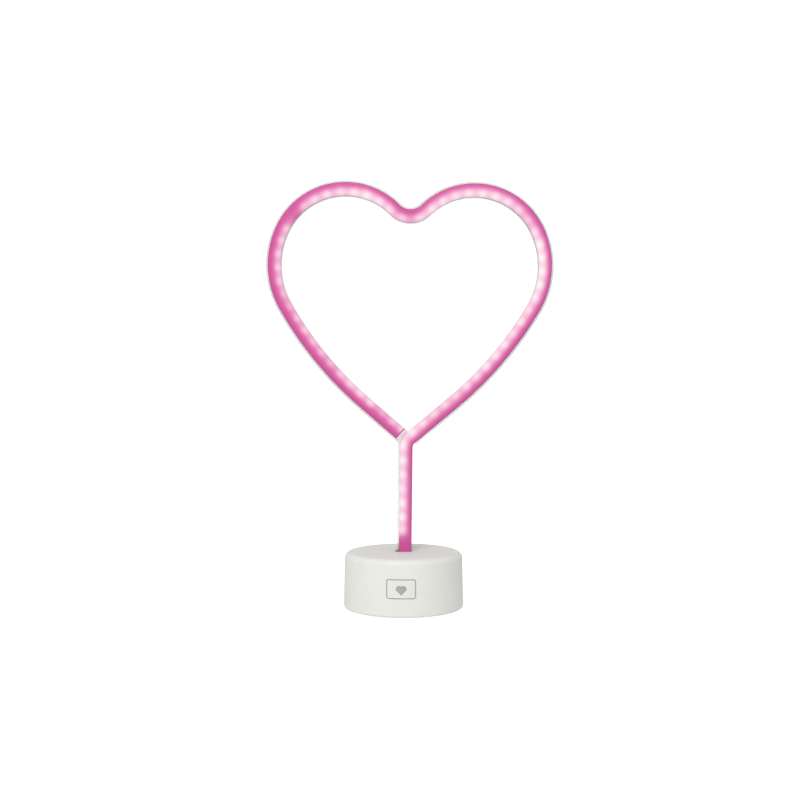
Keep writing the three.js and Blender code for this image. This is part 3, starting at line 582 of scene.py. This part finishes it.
bpy.context.view_layer.objects.active = channel
bpy.ops.object.mode_set(mode="EDIT")
bpy.ops.mesh.select_all(action="SELECT")
bpy.ops.mesh.remove_doubles(threshold=0.01 * mm)
bpy.ops.object.mode_set(mode="OBJECT")
channel.matrix_world = heart_place
bpy.ops.object.transform_apply(location=True, rotation=True, scale=True)
settled(channel, "backing_channel_clear", "lamp", "backing_channel", sharp=30)

acrylic = finish_of("clear_acrylic")
haze = acrylic.noise(acrylic.place(), 9 * mm, 3)
saw_marks = acrylic.noise(acrylic.stretched(acrylic.place(), (1, 0.15, 1)), 0.3 * mm, 2)
scuff = acrylic.edges(0.4 * mm)
acrylic_tint = acrylic.mix(haze * 0.5 + scuff * 0.4, paint(232, 236, 233), paint(246, 248, 246))
face_way = acrylic.node("ShaderNodeNewGeometry", output="Normal")
forward = acrylic.node("ShaderNodeMath", {"operation": "ABSOLUTE"}, {0: acrylic.parts(face_way)[1]})
# Painted shade: the sawn edges of the sheet, which face sideways, are painted darker grey than its faces
acrylic_tint = acrylic.mix(acrylic.smooth(forward, 0.3, 0.7), paint(168, 172, 165), acrylic_tint)
acrylic.surface({"Base Color": acrylic_tint, "Roughness": 0.1 + haze * 0.1 + scuff * 0.25, "IOR": 1.49,
                 "Transmission Weight": 0.75, "Normal": acrylic.bump(saw_marks, 0.02 * mm)})
dress(channel, acrylic, "channel_clear")


# ---- Base shell ----
# Off-white ABS, injection moulded with a fine spark-eroded skin. Its top has a snug slot for the
# stem, its front a sunk outline, and its rear two flats for the socket and the switch.
radius, height, rim, draft = 42.3 * mm, 39.2 * mm, 0.6 * mm, tan(radians(1))
wall_top = radius - draft * (height - rim)
cover_seat, seat_radius = 3.4 * mm, 41.1 * mm
inside_radius, roof = 40.1 * mm, 36.6 * mm
core_smaller, sides = 0.4 * mm, 192
bpy.ops.object.select_all(action="DESELECT")
wall_high, wall_middle = height - rim, (base_x, 0, (height + rim) / 2)
bpy.ops.mesh.primitive_cylinder_add(vertices=sides, radius=radius, depth=wall_high, location=wall_middle)
shell = bpy.context.object
bpy.ops.object.transform_apply(location=True, rotation=False, scale=False)
bpy.ops.object.mode_set(mode="EDIT")
axis = Vector((base_x, 0, 0))


def scaled(factor, centre):
    bpy.ops.transform.resize(value=(factor, factor, 1), center_override=centre)


pick("FACE", lambda at, way: way.z > 0.9)
scaled(wall_top / radius, axis)
pick("EDGE", lambda at, way: at.z > height - 1e-5 and abs(way.z) < 0.1)
bpy.ops.mesh.bevel(offset=4.5 * mm, segments=12, affect="EDGES")
pick("EDGE", lambda at, way: at.z < rim + 1e-5 and abs(way.z) < 0.1)
bpy.ops.mesh.bevel(offset=1 * mm, segments=4, affect="EDGES")
pick("FACE", lambda at, way: way.z < -0.99)
bpy.ops.mesh.inset(thickness=0.2 * mm)
bpy.ops.mesh.extrude_region_move(TRANSFORM_OT_translate={"value": (0, 0, cover_seat - rim)})
bpy.ops.mesh.inset(thickness=seat_radius - inside_radius)
bpy.ops.mesh.extrude_region_move(TRANSFORM_OT_translate={"value": (0, 0, roof - cover_seat)})
scaled((inside_radius - draft * roof) / inside_radius, axis)
bpy.ops.object.mode_set(mode="OBJECT")


def rounded_box(low, high, way, rounding, segments=4):
    """A box whose edges along one axis are rounded."""
    size = [b - a for a, b in zip(low, high)]
    bpy.ops.mesh.primitive_cube_add(size=1, location=[(a + b) / 2 for a, b in zip(low, high)])
    made = bpy.context.object
    made.scale = size
    bpy.ops.object.transform_apply(location=True, rotation=False, scale=True)
    if rounding:
        bpy.ops.object.mode_set(mode="EDIT")
        pick("EDGE", lambda at, line: abs(line["xyz".index(way)]) > 0.9)
        bpy.ops.mesh.bevel(offset=rounding, segments=segments, affect="EDGES")
        bpy.ops.object.mode_set(mode="OBJECT")
    return made


def at_base(x, y, z):
    return (base_x + x * mm, y * mm, z * mm)


stem_slot = rounded_box(at_base(-5.6, -4.05, 20), at_base(5.5, 5.65, 41), "z", 1.2 * mm)
cut_or_join(shell, stem_slot, "DIFFERENCE")
# At the rear, a shallow flat and a slot through it for the socket, then the same for the switch
for low, high, rounding in (
    (at_base(3, 40.9, 8.5), at_base(15, 43, 16.5), 1.5),
    (at_base(4.95, 36, 10.95), at_base(13.05, 43, 14.05), 0.9),
    (at_base(-12, 40.9, 9.5), at_base(-3.5, 43, 15.5), 1.2),
    (at_base(-11, 36, 11.2), at_base(-4.5, 43, 13.8), 0.5),
):
    cut_or_join(shell, rounded_box(low, high, "y", rounding * mm), "DIFFERENCE")

# The outline and the plain heart inside it are cut 0.4 mm into the front wall
outline_x, outline_z, outline_wide, outline_high = -1.7, 19.7, 20.1, 13.4


def outline_block(inset, front, back):
    """A rounded block through the front wall, smaller all round than the outline by the inset."""
    half_x, half_z = outline_wide / 2 - inset, outline_high / 2 - inset
    low = at_base(outline_x - half_x, front, outline_z - half_z)
    high = at_base(outline_x + half_x, back, outline_z + half_z)
    return rounded_box(low, high, "y", (2 - inset) * mm, 6)


ring = outline_block(0, -43, -30)
cut_or_join(ring, outline_block(0.7, -44, -29), "DIFFERENCE")
heart_z, heart_half = 18.4, 2.1
heart_low = at_base(outline_x - heart_half, -43, heart_z - heart_half)
heart_high = at_base(outline_x + heart_half, -30, heart_z + heart_half)
heart_mark = rounded_box(heart_low, heart_high, "y", 0)
middle = Matrix.Translation(at_base(outline_x, 0, heart_z))
heart_mark.matrix_world = middle @ Matrix.Rotation(pi / 4, 4, "Y") @ middle.inverted()
bpy.ops.object.transform_apply(location=True, rotation=True, scale=False)
lobe_out = heart_half / 2 ** 0.5
for side in (-1, 1):
    # A little larger than the square and unequally deep, so that no two faces coincide
    bpy.ops.mesh.primitive_cylinder_add(
        vertices=40, radius=(heart_half + 0.03) * mm, depth=(13.4 + 0.2 * side) * mm,
        rotation=(pi / 2, 0, 0), location=at_base(outline_x + side * lobe_out, -36.5, heart_z + lobe_out))
    round_half = bpy.context.object
    bpy.ops.object.transform_apply(location=True, rotation=True, scale=False)
    cut_or_join(heart_mark, round_half, "UNION")
cut_or_join(ring, heart_mark, "UNION")
bpy.ops.mesh.primitive_cone_add(
    vertices=sides, radius1=radius - core_smaller, radius2=wall_top - core_smaller, depth=wall_high,
    location=wall_middle)
core = bpy.context.object
bpy.ops.object.transform_apply(location=True, rotation=False, scale=False)
cut_or_join(ring, core, "DIFFERENCE")
cut_or_join(shell, ring, "DIFFERENCE")
settled(shell, "base_shell_moulded", "lamp", "base_shell", sharp=30)


def moulded(name, light, dark, grain_size=0.45 * mm, groove_shade=None):
    """White moulding plastic: a spark-eroded skin, faint flow clouds and paler, shinier edges."""
    shader = finish_of(name)
    skin = shader.noise(shader.place(), grain_size, 5, 0.6)
    clouds = shader.noise(shader.place(), 26 * mm, 4)
    hands = shader.smooth(shader.noise(shader.place(), 9 * mm, 5), 0.45, 0.75)
    edge = shader.edges(0.6 * mm)
    colour = shader.mix(clouds, dark, light)
    colour = shader.mix(hands * 0.10 + skin * 0.05, colour, paint(206, 204, 198))
    colour = shader.mix(edge * 0.35, colour, paint(250, 250, 248))
    # Painted shade: the sunk grooves are painted grey where their shadow falls
    if groove_shade:
        colour = shader.mix(groove_shade(shader), colour, paint(168, 169, 165))
    rough = 0.5 + skin * 0.12 - hands * 0.08 - edge * 0.12
    shader.surface({"Base Color": colour, "Roughness": rough, "Specular IOR Level": 0.4,
                    "Normal": shader.bump(skin, 0.035 * mm, 0.7)})
    return shader


def outline_groove_shade(shader):
    """Painted shade, grey in the sunk outline on the front: 1 just under the wall's face, 0 elsewhere."""
    x, y, z = shader.parts(shader.place())
    x = x - base_x
    out = shader.node("ShaderNodeMath", {"operation": "SQRT"}, {0: x * x + y * y})
    under = radius - draft * (z - rim) - out
    in_front = shader.smooth(0 - y, 30 * mm, 31 * mm) * shader.smooth(z, 12 * mm, 12.5 * mm)
    below_top = 1 - shader.smooth(z, 27 * mm, 27.5 * mm)
    in_line = shader.smooth(under, 0.12 * mm, 0.3 * mm) * (1 - shader.smooth(under, 0.7 * mm, 1 * mm))
    return in_line * in_front * below_top


shell_finish = moulded("shell_abs", paint(232, 232, 227), paint(226, 226, 220), groove_shade=outline_groove_shade)
dress(shell, shell_finish, "shell_white")


# ---- Stem clamp ----
# A small moulded plate inside the base. Its pad reaches through the socket's window and two
# screws pull it against the back of the stem.
clamp = refined("stem_clamp", "stem_clamp_moulded", 0.25 * mm)
inner_finish = moulded("cover_abs", paint(226, 224, 218), paint(219, 217, 210), 0.6 * mm)
dress(clamp, inner_finish, "cover_white")


def plated(name, shade, brushed=(1, 1, 1)):
    """Nickel plate: fine brushing, small dull spots, and bright worn edges."""
    shader = finish_of(name)
    lines = shader.noise(shader.stretched(shader.place(), brushed), 0.15 * mm, 3)
    dull = shader.smooth(shader.noise(shader.place(), 1.2 * mm, 4), 0.5, 0.7)
    edge = shader.edges(0.15 * mm)
    colour = shader.mix(dull * 0.35, shade, paint(150, 148, 142))
    colour = shader.mix(edge * 0.5, colour, paint(226, 227, 228))
    shader.surface({"Base Color": colour, "Metallic": 1.0, "Roughness": 0.24 + lines * 0.12 + dull * 0.18,
                    "Normal": shader.bump(lines, 0.01 * mm)})
    return shader


screw_finish = plated("screw_nickel", paint(196, 198, 200))
for number in (1, 2):
    screw = refined(f"clamp_screw_{number}", f"clamp_screw_turned_{number}", 0.08 * mm)
    dress(screw, screw_finish, "plated_steel")

# ---- Circuit board ----
# A single-sided glass-fibre board with green solder mask, held by two screws on bosses at the
# rear. It carries a resistor and a diode in front, and the socket and the switch behind.
board = refined("circuit_board", "circuit_board_cut", 0.1 * mm, 1)
green = finish_of("green_solder_mask")
weave_x, _, weave_z = green.parts(green.place())
yarns = 2 * pi / (0.9 * mm)
weft = green.node("ShaderNodeMath", {"operation": "SINE"}, {0: weave_x * yarns})
warp = green.node("ShaderNodeMath", {"operation": "SINE"}, {0: weave_z * yarns})
weave = weft * warp * 0.5 + 0.5
tracks = green.smooth(green.noise(green.stretched(green.place(), (1, 1, 3)), 5 * mm, 1), 0.5, 0.53)
green_colour = green.mix(tracks * 0.6, paint(38, 92, 60), paint(58, 124, 78))
green_colour = green.mix(green.edges(0.2 * mm), green_colour, paint(190, 182, 130))
green.surface({"Base Color": green_colour, "Roughness": 0.32 + weave * 0.08,
               "Normal": green.bump(weave * 0.4 + tracks * 0.6, 0.03 * mm)})
dress(board, green, "board_green")


def dark_moulding(name, shade, grain_size):
    shader = finish_of(name)
    skin = shader.noise(shader.place(), grain_size, 4)
    greasy = shader.smooth(shader.noise(shader.place(), 2.5 * mm, 3), 0.45, 0.7)
    edge = shader.edges(0.2 * mm)
    colour = shader.mix(edge * 0.4 + greasy * 0.08, shade, paint(120, 120, 124))
    shader.surface({"Base Color": colour, "Roughness": 0.4 + skin * 0.15 - greasy * 0.1,
                    "Normal": shader.bump(skin, 0.02 * mm)})
    return shader


chip_finish = dark_moulding("chip_epoxy", paint(40, 40, 44), 0.2 * mm)
for node in ("limit_resistor", "supply_diode"):
    dress(refined(node, node + "_soldered", 0.12 * mm), chip_finish, "dark_plastic")
for number in (1, 2):
    screw = refined(f"board_screw_{number}", f"board_screw_turned_{number}", 0.08 * mm)
    dress(screw, screw_finish, "plated_steel")

# ---- USB socket ----
# A folded and plated steel shell with its contact tongue inside, soldered to the board and
# reached through a slot in the rear flat.
can = refined("usb_socket", "usb_socket_folded", 0.08 * mm, 2, 20)
dress(can, plated("socket_nickel", paint(204, 206, 208), (0.2, 1, 1)), "plated_steel")
tongue = refined("usb_tongue", "usb_tongue_moulded", 0.08 * mm)
dress(tongue, dark_moulding("tongue_nylon", paint(34, 34, 38), 0.15 * mm), "dark_plastic")

# ---- Slide switch ----
# A folded steel case on the board with a ridged nylon knob that stands in the shell's slot and
# slides 2.5 mm sideways in it.
case = refined("switch_case", "switch_case_folded", 0.12 * mm)
dress(case, plated("case_nickel", paint(198, 199, 201), (1, 1, 0.2)), "plated_steel")
knob = refined("switch_knob", "switch_knob_ridged", 0.12 * mm, 3)
dress(knob, dark_moulding("knob_nylon", paint(46, 47, 51), 0.18 * mm), "dark_plastic")


# ---- Leads ----
# Four thin stranded leads in PVC: two from the battery contacts to the board, and two from the
# board to the foot of the strip. Their ends are soldered.
def insulation(name, shade):
    shader = finish_of(name)
    skin = shader.noise(shader.place(), 0.3 * mm, 3)
    dull = shader.noise(shader.place(), 5 * mm, 3)
    colour = shader.mix(dull * 0.25 + skin * 0.1, shade, paint(150, 120, 118))
    shader.surface({"Base Color": colour, "Roughness": 0.34 + skin * 0.15 + dull * 0.1,
                    "Normal": shader.bump(skin, 0.02 * mm)})
    return shader


for colour_name, shade in (("red", paint(186, 32, 36)), ("black", paint(30, 30, 32))):
    pvc = insulation("pvc_" + colour_name, shade)
    for run in ("battery", "lamp"):
        lead = refined(f"{run}_lead_{colour_name}", f"{run}_lead_{colour_name}_drawn", 0)
        rounder = lead.modifiers.new("round", "SUBSURF")
        rounder.levels = rounder.render_levels = 2
        bpy.ops.object.modifier_apply(modifier=rounder.name)
        dress(lead, pvc, "lead_" + colour_name)

# ---- Bottom cover and battery door ----
# White ABS. The cover fills the shell's rim and forms the battery bay; the door drops out of it
# on its front edge and has grip ribs by its rear latch.
cover = refined("bottom_cover", "bottom_cover_moulded", 0.2 * mm)
dress(cover, inner_finish, "cover_white")
door = refined("battery_door", "battery_door_moulded", 0.2 * mm)
dress(door, moulded("door_abs", paint(224, 222, 216), paint(217, 215, 208), 0.55 * mm), "cover_white")


# ---- Cells and contacts ----
# Three AA cells lie head to tail between nickel-plated plates and coil springs that are pushed
# into slots at the ends of the bay.
def cell_finish(name, low, high, plus_at_rear):
    shader = finish_of(name)
    _, y, _ = shader.parts(shader.place())
    from_foot = y - low.y if plus_at_rear else high.y - y
    film = shader.noise(shader.place(), 0.3 * mm, 3)
    rubbed = shader.noise(shader.stretched(shader.place(), (1, 0.1, 1)), 0.8 * mm, 4)
    scratch = shader.smooth(rubbed, 0.6, 0.7)
    below_rim = 1 - shader.smooth(from_foot, 47.6 * mm, 47.8 * mm)
    printed = shader.smooth(from_foot, 1.4 * mm, 1.6 * mm) * below_rim
    band = shader.smooth(from_foot, 35 * mm, 35.2 * mm)
    sleeve_colour = shader.mix(band, paint(52, 62, 74), paint(170, 176, 182))
    sleeve_colour = shader.mix(scratch * 0.3, sleeve_colour, paint(190, 192, 196))
    colour = shader.mix(printed, paint(206, 207, 206), sleeve_colour)
    shader.surface({"Base Color": colour, "Metallic": 1 - printed * 0.75, "Roughness": 0.26 + film * 0.12,
                    "Normal": shader.bump(film, 0.01 * mm)})
    return shader


for number in (1, 2, 3):
    node = f"battery_cell_{number}"
    low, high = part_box(node)
    cell = refined(node, f"{node}_can", 0.15 * mm, 2, 25)
    dress(cell, cell_finish(node, low, high, number != 2), "cell_can")
contact_finish = plated("contact_nickel", paint(206, 207, 206), (1, 1, 0.2))
for node in ("contact_plus", "contact_minus", "contact_link_1", "contact_link_2"):
    dress(refined(node, node + "_pressed", 0, sharp=35), contact_finish, "plated_steel")

# ---- Case screws and feet ----
# Four pan-head screws hold the cover to posts in the shell. Four soft pads are glued into
# shallow recesses and lift the rim off the table.
for number in (1, 2, 3, 4):
    screw = refined(f"case_screw_{number}", f"case_screw_turned_{number}", 0.1 * mm)
    dress(screw, screw_finish, "plated_steel")
rubber = finish_of("pad_rubber")
crumb = rubber.noise(rubber.place(), 0.35 * mm, 5)
dust = rubber.smooth(rubber.noise(rubber.place(), 3 * mm, 4), 0.45, 0.7)
paler = dust * 0.5 + rubber.edges(0.3 * mm) * 0.3
rubber_colour = rubber.mix(paler, paint(190, 188, 184), paint(214, 211, 204))
rubber.surface({"Base Color": rubber_colour, "Roughness": 0.75 + crumb * 0.15,
                "Normal": rubber.bump(crumb, 0.05 * mm)})
for number in (1, 2, 3, 4):
    dress(refined(f"foot_pad_{number}", f"foot_pad_soft_{number}", 0.2 * mm), rubber, "pad_grey")
